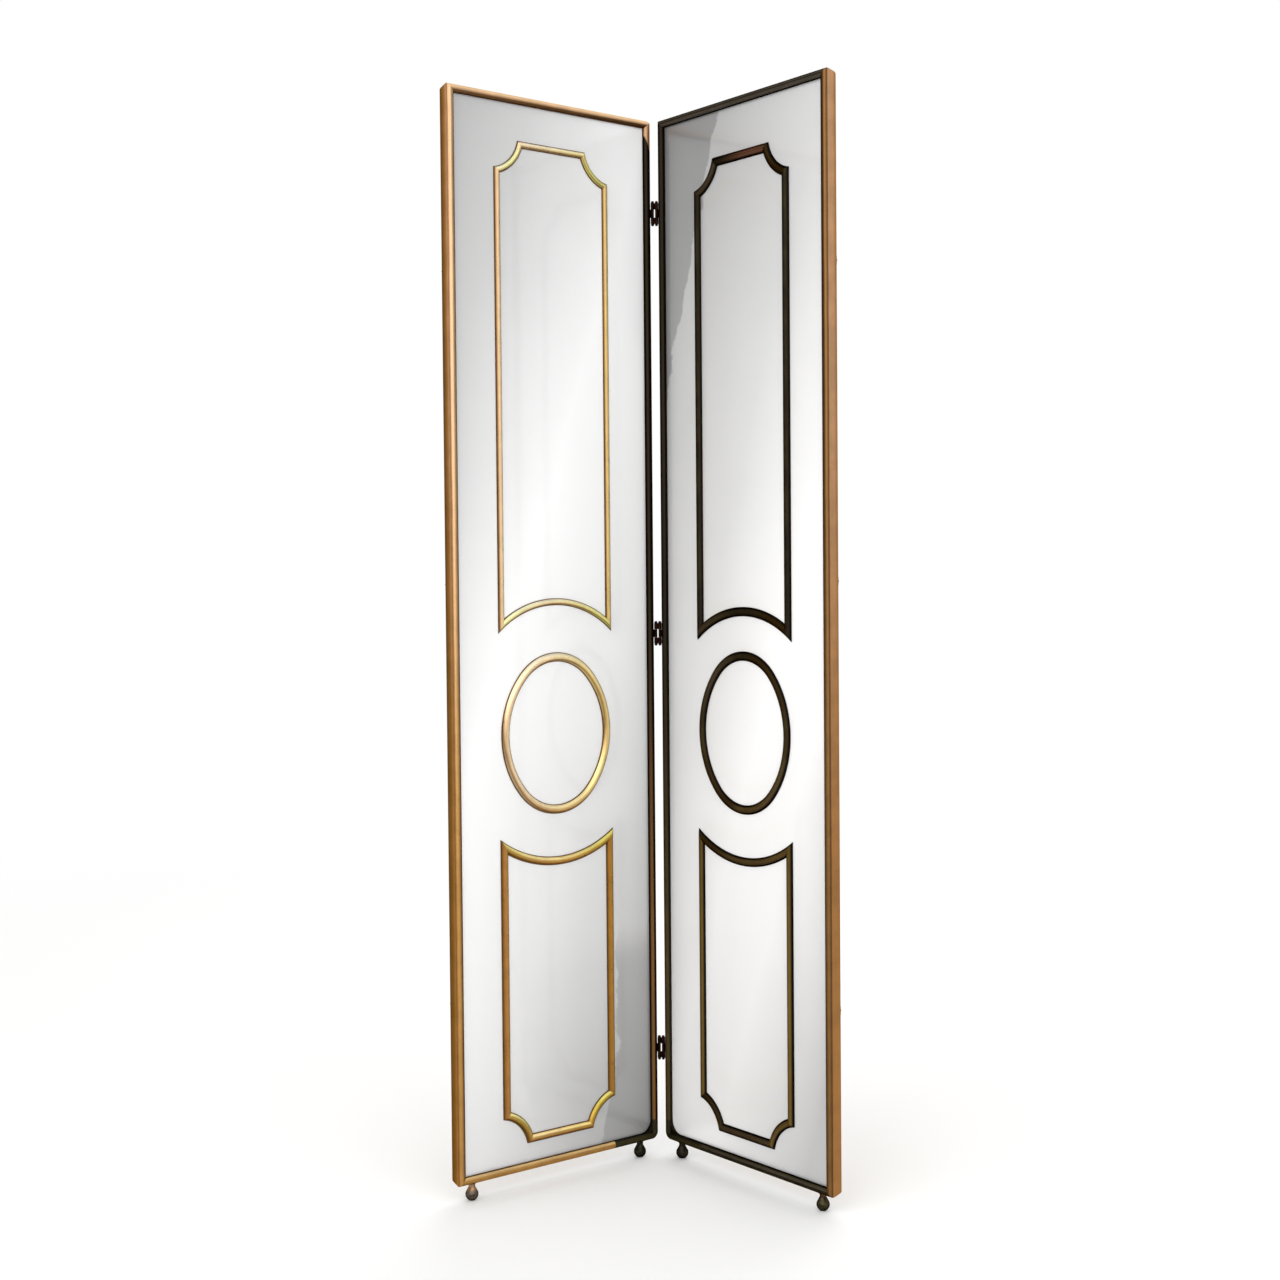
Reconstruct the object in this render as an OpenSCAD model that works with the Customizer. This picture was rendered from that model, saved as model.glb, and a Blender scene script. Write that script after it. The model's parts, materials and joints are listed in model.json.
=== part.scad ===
// Folding floor mirror: two tall brass-framed leaves that stand open like a book.
// Each leaf carries applied brass mouldings on its glass and stands on two turned feet.
// Three double-pin hinges join the leaves. Units are millimetres, +Z is up.
// The origin is on the floor, at the middle of the footprint. The glass faces -Y.

/* [Leaves] */
// Width of each leaf
leaf_w = 428; // [400:2:480]
// Height of each leaf frame, without its feet
leaf_h = 1830; // [1780:10:1960]
// Angle between the two mirrored faces as it stands
open_angle = 90; // [60:5:120]

/* [Frame section] */
// Width of a frame bar, seen from the front
bar_face = 13; // [12:0.5:14]
// Depth of a frame bar from bead to back
bar_depth = 25.4; // [23:0.2:27]
// Thickness of the wall around the glass
bar_wall = 5; // [4.5:0.5:6]
// Depth of the bar in front of the glass
lip_depth = 9; // [8:0.5:10]
// Rise of the rounded front bead
bead_rise = 3.2; // [2.6:0.1:3.6]
// Radius of the two outer corners at the back, from which they run out to a square front
corner_r = 11; // [7:0.5:12]
// Radius of the left leaf's top corner at the hinge side
left_top_corner_r = 11; // [4:0.5:12]
// Radius of the right leaf's top corner at the hinge side
right_top_corner_r = 5; // [4:0.5:12]
// Radius of the fill inside the bottom hinge-side corner
fillet_r = 23; // [14:1:26]
// Length of the cast bottom corner along the bottom, from the hinge edge
casting_reach = 100; // [70:5:120]

/* [Glass and back] */
// Thickness of the mirror glass
glass_t = 4; // [3:0.5:5]
// Play around the glass and the board
glass_play = 0.5; // [0.3:0.1:1]

/* [Mouldings] */
// Outside half width of the framed fields
field_half_w = 120; // [110:1:125]
// Width of the strips of the right upper field and the ovals
strip_w = 16; // [14:1:18]
// Width of the slimmer strips of the left upper field
slim_strip_w = 12; // [10:1:14]
// Width of the strips of the lower fields
lower_strip_w = 15; // [13:1:17]
// Width and height of the corner notches
notch_w = 49; // [40:1:60]
// Radius of the notches' concave arcs
notch_r = 62; // [61:1:80]
// Height of the left upper field's top edge above the leaf's bottom
left_upper_top = 1756; // [1700:1:1765]
// Height of the right upper field's top edge above the leaf's bottom
right_upper_top = 1739; // [1700:1:1765]
// Height of the upper fields, down to the points
upper_field_h = 833; // [800:1:840]
// Radius of the arc that closes the left upper field
left_upper_arc_r = 184; // [180:2:240]
// Radius of the arc that closes the right upper field
right_upper_arc_r = 200; // [190:2:240]
// Height of the lower fields, up to the points
lower_field_h = 528; // [480:1:540]
// Height of the lower fields' bottom edge above the leaf's bottom
lower_bottom = 45; // [35:1:60]
// Radius of the arc that closes each lower field
lower_arc_r = 212; // [190:2:240]
// Half width of the oval to the middle of its strip
oval_half_w = 108; // [100:1:112]
// Half height of the oval to the middle of its strip
oval_half_h = 132; // [126:1:140]
// Height of the oval's centre above the leaf's bottom
oval_z = 748; // [730:1:760]

/* [Feet] */
// Height of a foot
foot_h = 30; // [28:1:34]
// Diameter of the ball of a foot
foot_ball_d = 22; // [19:0.5:23]
// Distance of a foot from the leaf's hinge-side end
inner_foot_x = 35; // [30:1:60]
// Distance of a foot from the leaf's outer end
outer_foot_x = 31; // [25:1:60]

/* [Hinges] */
// Height of a hinge
hinge_h = 44; // [40:1:50]
// Distance between the two pins of a hinge
pin_pitch = 7; // [6.9:0.1:7.6]
// Radius of a hinge barrel
barrel_r = 3.3; // [3.1:0.1:3.4]
// Radius of a hinge pin
pin_r = 1.6; // [1.4:0.1:1.8]
// Height of the middle hinge above the leaf's bottom
hinge_mid_z = 916; // [900:1:930]
// Distance of the end hinges from the middle one
hinge_spread = 751; // [700:1:770]

/* [Hidden] */
$fn = 96;

// Colours
brass = [0.72, 0.53, 0.29];
dark_brass = [0.26, 0.20, 0.13];
silver_glass = [0.86, 0.87, 0.88];
board_brown = [0.45, 0.33, 0.22];

// Frame section: a bead on the front, a groove beside it and a flat outer side
bead_edge = 0.6;
bead_chord = bar_face - bead_edge;
bead_r = (bead_chord * bead_chord / 4 + bead_rise * bead_rise) / (2 * bead_rise);
groove_r = 0.9;
groove_depth = bead_rise + 1.1;
edge_r = 1;
corner_front = 6;
corner_ease = 1.03;
cut = 1;

// Frame bars as laid out on the face of a leaf
corner_square = bar_face + fillet_r;
board_t = bar_depth - lip_depth - glass_t;
pane_edge = bar_wall + glass_play;

// Mouldings: a low half-round between two narrow shoulders
shoulder_w = 1;
shoulder_h = 1.2;
strip_rise = 0.33;
butt_angle = 0.01;
trim_angle = 2;
// The notch arcs are centred this far beyond a field's corner, both sideways and upwards
notch_shift = sqrt(notch_r * notch_r / 2 - notch_w * notch_w / 4) - notch_w / 2;
notch_half_angle = asin(notch_w / (sqrt(2) * notch_r));

// Hinge geometry: the pin stands clear of the stile, just behind the bead's crest
pin_clear = 0.4;
pin_out = barrel_r + pin_clear;
pin_back = 2;
bore_play = 0.05;
knuckle_half = 7.2;
middle_knuckle_r = 2.5;
knuckle_gap = 0.3;
tip_h = 4;
tip_r = 2;
plate_t = 1.6;
plate_front = 6;
plate_back = 22;
web_t = 2.4;
hinge_screw_r = 1.5;
hinge_screw_head_r = 2.8;
hinge_screw_len = 4.6;
hinge_screw_y = 14;
hinge_screw_z = 14;
slot_w = 0.7;
slot_d = 0.5;
hinge_levels = [hinge_mid_z - hinge_spread, hinge_mid_z, hinge_mid_z + hinge_spread];

// Back clips that hold the board
clip_w = 14;
clip_t = 1.2;
clip_start = 1.4;
clip_reach = 16;
clip_screw_r = 1.25;
clip_screw_len = 5;
clip_head_r = 1.9;
clip_head_h = 0.8;
clip_screw_in = 2.9;
clip_levels = [leaf_h / 6, leaf_h * 0.55, leaf_h * 5 / 6];

// Feet
foot_flat_r = 3.5;
foot_neck_r = 5.7;
foot_flare = 3.6;
foot_taper = 28;
foot_blend = 0.1;
foot_stud_r = 2.5;
foot_stud_len = bar_wall - 0.2;

// Standing pose: each leaf is turned about its own pin
fold = 90 - open_angle / 2;
bead_mid_x = (bead_edge + bar_face) / 2;
back_reach = (bar_depth + clip_t + clip_head_h - pin_back) * cos(fold)
  - (clip_screw_in - clip_head_r + pin_out) * sin(fold);
front_reach = (leaf_w - bead_mid_x + pin_out) * sin(fold) - (bead_r - pin_back) * cos(fold) + bead_r;
pin_y = (front_reach - back_reach) / 2;

// ---- Placing a leaf ----

// Lays a leaf out flat: x runs from its hinge edge outwards, y from its front to its back
module right_leaf() {
  translate([pin_pitch / 2, pin_y, foot_h]) rotate([0, 0, -fold]) translate([pin_out, -pin_back, 0])
    children();
}

module left_leaf() {
  mirror([1, 0, 0]) right_leaf() children();
}

// Lifts a drawing of the leaf's face upright; its z becomes the distance in front of y_back
module upright(y_back = 0) {
  translate([0, y_back, 0]) rotate([90, 0, 0]) children();
}

// ---- Frame bars ----

// Cross-section: x from the outer side inwards, y from the bead's crest (0) backwards (negative)
module bar_section() {
  difference() {
    union() {
      intersection() {
        translate([bead_mid_x, -bead_r]) circle(bead_r);
        translate([bead_edge, -bead_rise]) square([bead_chord, bead_rise + cut]);
      }
      translate([bead_edge, -lip_depth]) square([bead_chord, lip_depth - bead_rise]);
      translate([0, edge_r - bar_depth]) square([bar_wall, bar_depth - groove_depth - edge_r]);
      translate([edge_r, -bar_depth]) square([bar_wall - edge_r, edge_r]);
      translate([edge_r, edge_r - bar_depth]) circle(edge_r);
    }
    translate([groove_r * 0.3, -groove_depth]) circle(groove_r);
  }
}

// A bar that runs from the origin towards -Y on the drawing, with its outer side at x = 0
module bar(length) {
  rotate([90, 0, 0]) linear_extrude(length) bar_section();
}

// What filing removes at a corner that lies at the origin, the same at every depth
module round_corner_waste(r) {
  translate([0, 0, -bar_depth - cut]) linear_extrude(bar_depth + 2 * cut) difference() {
    translate([-cut, -cut]) square(r + cut);
    translate([r, r]) circle(r);
  }
}

// What filing removes at an outer corner: a cone that starts from the square corner in front
// and narrows to the corner's radius at the back
module tapered_corner_waste(r) {
  back_r = r * corner_ease;
  slope = (r * sqrt(2) - back_r) / (bar_depth - corner_front);
  difference() {
    translate([-cut, -cut, -bar_depth - cut]) cube([r + cut, r + cut, bar_depth + cut]);
    translate([r, r, -bar_depth - 2 * cut])
      cylinder(h = bar_depth + 4 * cut, r1 = back_r - 2 * cut * slope,
        r2 = back_r + (bar_depth + 2 * cut) * slope);
  }
}

module frame_corner_waste(top_r) {
  translate([leaf_w, 0, 0]) mirror([1, 0, 0]) tapered_corner_waste(corner_r);
  translate([leaf_w, leaf_h, 0]) rotate([0, 0, 180]) tapered_corner_waste(corner_r);
  translate([0, leaf_h, 0]) mirror([0, 1, 0]) round_corner_waste(top_r);
}

// Hole in the wall of a bottom bar for the stud of a foot
module foot_hole(x) {
  translate([x, -cut, -bar_depth / 2]) rotate([-90, 0, 0]) cylinder(h = bar_wall + cut, r = foot_stud_r);
}

// Keeps what lies over an outline on the face of the leaf
module mitred(outline) {
  intersection() {
    children();
    translate([0, 0, -bar_depth - cut]) linear_extrude(bar_depth + 2 * cut) polygon(outline);
  }
}

// Holes for the screws that hold the back clips, along the bar's own wall
module clip_holes(levels) {
  for (level = levels)
    translate([clip_screw_in, level, -bar_depth - cut]) cylinder(h = clip_screw_len + cut, r = clip_screw_r);
}

module hinge_stile(top_r) {
  upright() difference() {
    mitred([[0, corner_square], [bar_face, corner_square], [bar_face, leaf_h - bar_face], [0, leaf_h]])
      translate([0, leaf_h, 0]) bar(leaf_h);
    frame_corner_waste(top_r);
    clip_holes(clip_levels);
    for (level = hinge_levels, side = [-1, 1])
      translate([-cut, level + side * hinge_screw_z, -hinge_screw_y]) rotate([0, 90, 0])
        cylinder(h = hinge_screw_len - plate_t + cut, r = hinge_screw_r);
  }
}

module outer_stile() {
  upright() difference() {
    mitred([[leaf_w, 0], [leaf_w, leaf_h], [leaf_w - bar_face, leaf_h - bar_face],
        [leaf_w - bar_face, bar_face]])
      translate([leaf_w, leaf_h, 0]) mirror([1, 0, 0]) bar(leaf_h);
    frame_corner_waste(corner_r);
    translate([leaf_w, 0, 0]) mirror([1, 0, 0]) clip_holes(clip_levels);
  }
}

module top_rail(top_r) {
  upright() difference() {
    mitred([[0, leaf_h], [bar_face, leaf_h - bar_face], [leaf_w - bar_face, leaf_h - bar_face],
        [leaf_w, leaf_h]])
      translate([leaf_w, leaf_h, 0]) rotate([0, 0, -90]) bar(leaf_w);
    frame_corner_waste(top_r);
    translate([0, leaf_h, 0]) rotate([0, 0, -90]) clip_holes([leaf_w / 2]);
  }
}

module bottom_rail() {
  upright() difference() {
    mitred([[casting_reach, 0], [leaf_w, 0], [leaf_w - bar_face, bar_face], [casting_reach, bar_face]])
      rotate([0, 0, 90]) bar(leaf_w);
    frame_corner_waste(corner_r);
    mirror([0, 1, 0]) rotate([0, 0, -90]) clip_holes([leaf_w / 2]);
    foot_hole(leaf_w - outer_foot_x);
  }
}

// The bottom corner on the hinge side is a casting: the bar's section swept round a quarter
// turn, with a short end up the stile, a longer one along the bottom that takes the inner foot,
// and a fill inside the corner
module bottom_corner() {
  upright() difference() {
    union() {
      translate([bar_face, bar_face, 0]) rotate([0, 0, 180]) rotate_extrude(angle = 90)
        translate([bar_face, 0]) mirror([1, 0]) bar_section();
      translate([0, corner_square, 0]) bar(fillet_r);
      translate([bar_face, 0, 0]) rotate([0, 0, 90]) bar(casting_reach - bar_face);
      translate([bar_face - cut, bar_face - cut, -lip_depth]) linear_extrude(lip_depth - bead_rise)
        difference() {
          square(fillet_r + cut);
          translate([fillet_r + cut, fillet_r + cut]) circle(fillet_r);
        }
    }
    foot_hole(inner_foot_x);
  }
}

// ---- Glass and back board ----

// A pane that fills the rebate, rounded where it lies in the cast corner
module pane(thickness) {
  round_r = bar_face - pane_edge;
  linear_extrude(thickness) translate([pane_edge, pane_edge]) difference() {
    square([leaf_w - 2 * pane_edge, leaf_h - 2 * pane_edge]);
    difference() {
      translate([-cut, -cut]) square(round_r + cut);
      translate([round_r, round_r]) circle(round_r);
    }
  }
}

module mirror_glass() {
  upright(lip_depth + glass_t) pane(glass_t);
}

module back_board() {
  upright(bar_depth) pane(board_t);
}

// ---- Mouldings ----

// Section of a strip: x across it, y away from the glass
module strip_section(w) {
  crown = w - 2 * shoulder_w;
  rise = strip_rise * w;
  r = (crown * crown / 4 + rise * rise) / (2 * rise);
  translate([-w / 2, 0]) square([w, shoulder_h]);
  intersection() {
    translate([0, shoulder_h + rise - r]) circle(r);
    translate([-w / 2, shoulder_h / 2]) square([w, shoulder_h + rise]);
  }
}

// A strip that runs from the origin towards -Y on the drawing, its middle on x = 0
module strip(w, length) {
  rotate([90, 0, 0]) linear_extrude(length) strip_section(w);
}

// A strip bent round the origin, from one angle through another. It is bent a little too long
// wherever its ends are trimmed.
module bent_strip(w, r, from, through) {
  rotate([0, 0, from]) rotate_extrude(angle = through, $fn = 180) translate([r, 0]) strip_section(w);
}

// Keeps what lies over an outline on the glass
module trimmed(outline) {
  intersection() {
    children();
    translate([0, 0, -cut]) linear_extrude(strip_w) polygon(outline);
  }
}

// A field is drawn with its straight bar's outer edge on y = 0 and its points at y = -h.
// These give the places where the strips of a field meet.
function arc_centre_y(w, h, arc_r) = -h - sqrt(pow(arc_r - w / 2, 2) - pow(field_half_w, 2));
function inner_point_y(w, h, arc_r) =
  arc_centre_y(w, h, arc_r) + sqrt(pow(arc_r + w / 2, 2) - pow(field_half_w - w, 2));
function notch_inner_reach(w) = sqrt(pow(notch_r + w, 2) - pow(notch_shift + w, 2)) - notch_shift;

// A point a little past b, on the line from a through b
function past(a, b) = b + (b - a) / 5;

module field_bar(w) {
  outer_x = field_half_w - notch_w;
  inner_x = field_half_w - notch_inner_reach(w);
  trimmed([[-outer_x, 0], [outer_x, 0], [inner_x, -w], [-inner_x, -w]])
    translate([-field_half_w, -w / 2, 0]) rotate([0, 0, 90]) strip(w, 2 * field_half_w);
}

// The notch at the right-hand corner of the drawing
module field_notch(w) {
  outer = [field_half_w - notch_w, 0];
  inner = [field_half_w - notch_inner_reach(w), -w];
  outer_low = [field_half_w, -notch_w];
  inner_low = [field_half_w - w, -notch_inner_reach(w)];
  high = past(outer, inner);
  low = past(outer_low, inner_low);
  trimmed([past(inner, outer), high, [high[0], low[1]], low, past(inner_low, outer_low)])
    translate([field_half_w + notch_shift, notch_shift, 0])
      bent_strip(w, notch_r + w / 2, 225 - notch_half_angle - trim_angle,
        2 * (notch_half_angle + trim_angle));
}

// The side strip at the right of the drawing
module field_side(w, h, arc_r) {
  trimmed([[field_half_w, -notch_w], [field_half_w - w, -notch_inner_reach(w)],
      [field_half_w - w, inner_point_y(w, h, arc_r)], [field_half_w, -h]])
    translate([field_half_w - w / 2, 0, 0]) strip(w, h);
}

module field_arc(w, h, arc_r) {
  centre_y = arc_centre_y(w, h, arc_r);
  top_y = centre_y + arc_r + w;
  half_angle = asin(field_half_w / (arc_r - w / 2)) + trim_angle;
  outer = [field_half_w, -h];
  inner = [field_half_w - w, inner_point_y(w, h, arc_r)];
  low = past(inner, outer);
  high = past(outer, inner);
  trimmed([[-low[0], low[1]], [-high[0], high[1]], [-high[0], top_y], [high[0], top_y], high, low])
    translate([0, centre_y, 0]) bent_strip(w, arc_r, 90 - half_angle, 2 * half_angle);
}

// The oval is laid from four bent strips, butted where their arcs run into each other
module oval() {
  end_r = oval_half_w * 0.86;
  shift_y = oval_half_h - end_r;
  side_r = (oval_half_w * oval_half_w + shift_y * shift_y - end_r * end_r) / (2 * (oval_half_w - end_r));
  shift_x = side_r - oval_half_w;
  turn = atan2(shift_y, shift_x);
  for (side = [0, 180]) rotate([0, 0, side]) {
    translate([-shift_x, 0, 0]) bent_strip(strip_w, side_r, butt_angle - turn, 2 * (turn - butt_angle));
    translate([0, shift_y, 0]) bent_strip(strip_w, end_r, turn + butt_angle, 180 - 2 * (turn + butt_angle));
  }
}

// Puts a drawing onto the glass, with its middle line on the middle of the leaf
module on_glass(level) {
  upright(lip_depth) translate([leaf_w / 2, level, 0]) children();
}

// The lower fields stand upside down
module on_glass_inverted(level) {
  on_glass(level) mirror([0, 1, 0]) children();
}

module other_side() {
  mirror([1, 0, 0]) children();
}

// ---- Feet ----

// A turned foot: a ball drawn out into a neck, which flares out under the rail, and a stud
module foot(x) {
  ball_r = foot_ball_d / 2;
  ball_z = sqrt(ball_r * ball_r - foot_flat_r * foot_flat_r);
  taper_r = ball_r * cos(foot_taper) - foot_blend;
  taper_z = ball_z + ball_r * sin(foot_taper);
  neck_z = taper_z + (taper_r - foot_neck_r) / tan(foot_taper);
  flare_r = foot_neck_r + foot_flare;
  stud_top = foot_h + foot_stud_len;
  translate([x, bar_depth / 2, -foot_h]) rotate_extrude() union() {
    intersection() {
      translate([0, ball_z]) circle(ball_r);
      square([ball_r + cut, ball_z + ball_r + cut]);
    }
    polygon([[0, taper_z], [taper_r, taper_z], [foot_neck_r, neck_z], [foot_neck_r, foot_h],
      [foot_stud_r, foot_h], [foot_stud_r, stud_top], [0, stud_top]]);
    difference() {
      translate([foot_stud_r, foot_h - foot_flare]) square([flare_r - foot_stud_r, foot_flare]);
      translate([flare_r, foot_h - foot_flare]) circle(foot_flare);
    }
  }
}

// ---- Hinges ----

module screw_slot(head_r) {
  translate([-head_r - cut, -slot_w / 2, -slot_d]) cube([2 * (head_r + cut), slot_w, slot_d + cut]);
}

// A countersunk screw whose head faces +Z and ends at z = 0
module countersunk_screw() {
  sink = hinge_screw_head_r - hinge_screw_r;
  difference() {
    union() {
      translate([0, 0, -sink]) cylinder(h = sink, r1 = hinge_screw_r, r2 = hinge_screw_head_r);
      translate([0, 0, -hinge_screw_len]) cylinder(h = hinge_screw_len - sink, r = hinge_screw_r);
    }
    screw_slot(hinge_screw_head_r);
  }
}

module countersunk_hole() {
  sink = hinge_screw_head_r - hinge_screw_r;
  translate([0, 0, -sink]) cylinder(h = sink, r1 = hinge_screw_r, r2 = hinge_screw_head_r);
  translate([0, 0, -hinge_screw_len]) cylinder(h = hinge_screw_len, r = hinge_screw_r);
}

// Puts a screw on the outer face of a hinge plate
module at_hinge_screw(z) {
  translate([-plate_t, hinge_screw_y, z]) rotate([0, -90, 0]) children();
}

// The half that is screwed to a stile. An arm carries the slim middle knuckle of its barrel, so
// that light shows between the two barrels.
module hinge_plate(level) {
  arm_y = pin_back + middle_knuckle_r - plate_t;
  translate([0, 0, level]) difference() {
    union() {
      translate([-plate_t, plate_front, -hinge_h / 2]) cube([plate_t, plate_back - plate_front, hinge_h]);
      translate([-plate_t, arm_y, -knuckle_half])
        cube([plate_t, plate_front + cut - arm_y, 2 * knuckle_half]);
      translate([-pin_out, arm_y, -knuckle_half]) cube([pin_out, plate_t, 2 * knuckle_half]);
      translate([-pin_out, pin_back, -knuckle_half]) cylinder(h = 2 * knuckle_half, r = middle_knuckle_r);
    }
    translate([-pin_out, pin_back, -knuckle_half - cut])
      cylinder(h = 2 * (knuckle_half + cut), r = pin_r + bore_play);
    for (z = [-hinge_screw_z, hinge_screw_z]) at_hinge_screw(z) countersunk_hole();
  }
}

module hinge_screws() {
  for (level = hinge_levels, z = [-hinge_screw_z, hinge_screw_z])
    translate([0, 0, level]) at_hinge_screw(z) countersunk_screw();
}

// One end knuckle of a barrel, tapered to a blunt tip, from z = 0 upwards
module end_knuckle() {
  body_h = hinge_h / 2 - knuckle_half - knuckle_gap - tip_h;
  cylinder(h = body_h, r = barrel_r);
  translate([0, 0, body_h]) cylinder(h = tip_h, r1 = barrel_r, r2 = tip_r);
}

// The link between the leaves: two barrels side by side, joined by a web at both ends
module hinge_link(level) {
  body_h = hinge_h / 2 - knuckle_half - knuckle_gap - tip_h;
  translate([0, pin_y, foot_h + level]) difference() {
    for (end = [0, 1]) mirror([0, 0, end]) translate([0, 0, knuckle_half + knuckle_gap]) union() {
      for (side = [-1, 1]) translate([side * pin_pitch / 2, 0, 0]) end_knuckle();
      translate([-pin_pitch / 2, -web_t / 2, 0]) cube([pin_pitch, web_t, body_h]);
    }
    for (side = [-1, 1]) translate([side * pin_pitch / 2, 0, -hinge_h / 2 - cut])
      cylinder(h = hinge_h + 2 * cut, r = pin_r);
  }
}

// ---- Back clips ----

// Puts a part on the back of each bar, x pointing from the bar's outer side inwards
module at_each_clip() {
  for (level = clip_levels) {
    translate([0, bar_depth, level]) children();
    translate([leaf_w, bar_depth, level]) mirror([1, 0, 0]) children();
  }
  translate([leaf_w / 2, bar_depth, 0]) rotate([0, -90, 0]) children();
  translate([leaf_w / 2, bar_depth, leaf_h]) rotate([0, 90, 0]) children();
}

module back_clips() {
  at_each_clip() difference() {
    translate([clip_start, 0, -clip_w / 2]) cube([clip_reach - clip_start, clip_t, clip_w]);
    translate([clip_screw_in, -cut, 0]) rotate([-90, 0, 0]) cylinder(h = clip_t + 2 * cut, r = clip_screw_r);
  }
}

module clip_screws() {
  shank_len = clip_t + clip_screw_len - 1;
  at_each_clip() translate([clip_screw_in, clip_t, 0]) rotate([-90, 0, 0]) difference() {
    union() {
      cylinder(h = clip_head_h, r = clip_head_r);
      translate([0, 0, -shank_len]) cylinder(h = shank_len, r = clip_screw_r);
    }
    translate([0, 0, clip_head_h]) screw_slot(clip_head_r);
  }
}

// ---- Left leaf ----

module left_outer_stile() color(brass) left_leaf() outer_stile();
module left_hinge_stile() color(dark_brass) left_leaf() hinge_stile(left_top_corner_r);
module left_top_rail() color(brass) left_leaf() top_rail(left_top_corner_r);
module left_bottom_rail() color(brass) left_leaf() bottom_rail();
module left_bottom_corner() color(dark_brass) left_leaf() bottom_corner();
module left_mirror_glass() color(silver_glass) left_leaf() mirror_glass();
module left_back_board() color(board_brown) left_leaf() back_board();

module left_upper() {
  color(brass) left_leaf() on_glass(left_upper_top) children();
}
module left_lower() {
  color(brass) left_leaf() on_glass_inverted(lower_bottom) children();
}
module left_upper_bar() left_upper() field_bar(slim_strip_w);
module left_upper_notch_outer() left_upper() field_notch(slim_strip_w);
module left_upper_notch_inner() left_upper() other_side() field_notch(slim_strip_w);
module left_upper_side_outer() left_upper() field_side(slim_strip_w, upper_field_h, left_upper_arc_r);
module left_upper_side_inner() left_upper() other_side()
  field_side(slim_strip_w, upper_field_h, left_upper_arc_r);
module left_upper_arc() left_upper() field_arc(slim_strip_w, upper_field_h, left_upper_arc_r);
module left_oval() color(brass) left_leaf() on_glass(oval_z) oval();
module left_lower_bar() left_lower() field_bar(lower_strip_w);
module left_lower_notch_outer() left_lower() field_notch(lower_strip_w);
module left_lower_notch_inner() left_lower() other_side() field_notch(lower_strip_w);
module left_lower_side_outer() left_lower() field_side(lower_strip_w, lower_field_h, lower_arc_r);
module left_lower_side_inner() left_lower() other_side()
  field_side(lower_strip_w, lower_field_h, lower_arc_r);
module left_lower_arc() left_lower() field_arc(lower_strip_w, lower_field_h, lower_arc_r);

module left_outer_foot() color(dark_brass) left_leaf() foot(leaf_w - outer_foot_x);
module left_inner_foot() color(dark_brass) left_leaf() foot(inner_foot_x);
module left_hinge_plate_top() color(dark_brass) left_leaf() hinge_plate(hinge_levels[2]);
module left_hinge_plate_middle() color(dark_brass) left_leaf() hinge_plate(hinge_levels[1]);
module left_hinge_plate_bottom() color(dark_brass) left_leaf() hinge_plate(hinge_levels[0]);
module left_hinge_screws() color(brass) left_leaf() hinge_screws();
module left_back_clips() color(brass) left_leaf() back_clips();
module left_clip_screws() color(brass) left_leaf() clip_screws();

// ---- Right leaf ----

module right_outer_stile() color(brass) right_leaf() outer_stile();
module right_hinge_stile() color(dark_brass) right_leaf() hinge_stile(right_top_corner_r);
module right_top_rail() color(dark_brass) right_leaf() top_rail(right_top_corner_r);
module right_bottom_rail() color(dark_brass) right_leaf() bottom_rail();
module right_bottom_corner() color(dark_brass) right_leaf() bottom_corner();
module right_mirror_glass() color(silver_glass) right_leaf() mirror_glass();
module right_back_board() color(board_brown) right_leaf() back_board();

module right_upper() {
  color(dark_brass) right_leaf() on_glass(right_upper_top) children();
}
module right_lower() {
  color(dark_brass) right_leaf() on_glass_inverted(lower_bottom) children();
}
module right_upper_bar() right_upper() field_bar(strip_w);
module right_upper_notch_outer() right_upper() field_notch(strip_w);
module right_upper_notch_inner() right_upper() other_side() field_notch(strip_w);
module right_upper_side_outer() right_upper() field_side(strip_w, upper_field_h, right_upper_arc_r);
module right_upper_side_inner() right_upper() other_side()
  field_side(strip_w, upper_field_h, right_upper_arc_r);
module right_upper_arc() right_upper() field_arc(strip_w, upper_field_h, right_upper_arc_r);
module right_oval() color(dark_brass) right_leaf() on_glass(oval_z) oval();
module right_lower_bar() right_lower() field_bar(lower_strip_w);
module right_lower_notch_outer() right_lower() field_notch(lower_strip_w);
module right_lower_notch_inner() right_lower() other_side() field_notch(lower_strip_w);
module right_lower_side_outer() right_lower() field_side(lower_strip_w, lower_field_h, lower_arc_r);
module right_lower_side_inner() right_lower() other_side()
  field_side(lower_strip_w, lower_field_h, lower_arc_r);
module right_lower_arc() right_lower() field_arc(lower_strip_w, lower_field_h, lower_arc_r);

module right_outer_foot() color(dark_brass) right_leaf() foot(leaf_w - outer_foot_x);
module right_inner_foot() color(dark_brass) right_leaf() foot(inner_foot_x);
module right_hinge_plate_top() color(dark_brass) right_leaf() hinge_plate(hinge_levels[2]);
module right_hinge_plate_middle() color(dark_brass) right_leaf() hinge_plate(hinge_levels[1]);
module right_hinge_plate_bottom() color(dark_brass) right_leaf() hinge_plate(hinge_levels[0]);
module right_hinge_screws() color(brass) right_leaf() hinge_screws();
module right_back_clips() color(brass) right_leaf() back_clips();
module right_clip_screws() color(brass) right_leaf() clip_screws();

// ---- Between the leaves ----

module hinge_link_top() color(dark_brass) hinge_link(hinge_levels[2]);
module hinge_link_middle() color(dark_brass) hinge_link(hinge_levels[1]);
module hinge_link_bottom() color(dark_brass) hinge_link(hinge_levels[0]);
module hinge_pins() color(brass) {
  for (level = hinge_levels, side = [-1, 1])
    translate([side * pin_pitch / 2, pin_y, foot_h + level - hinge_h / 2]) cylinder(h = hinge_h, r = pin_r);
}

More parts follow.
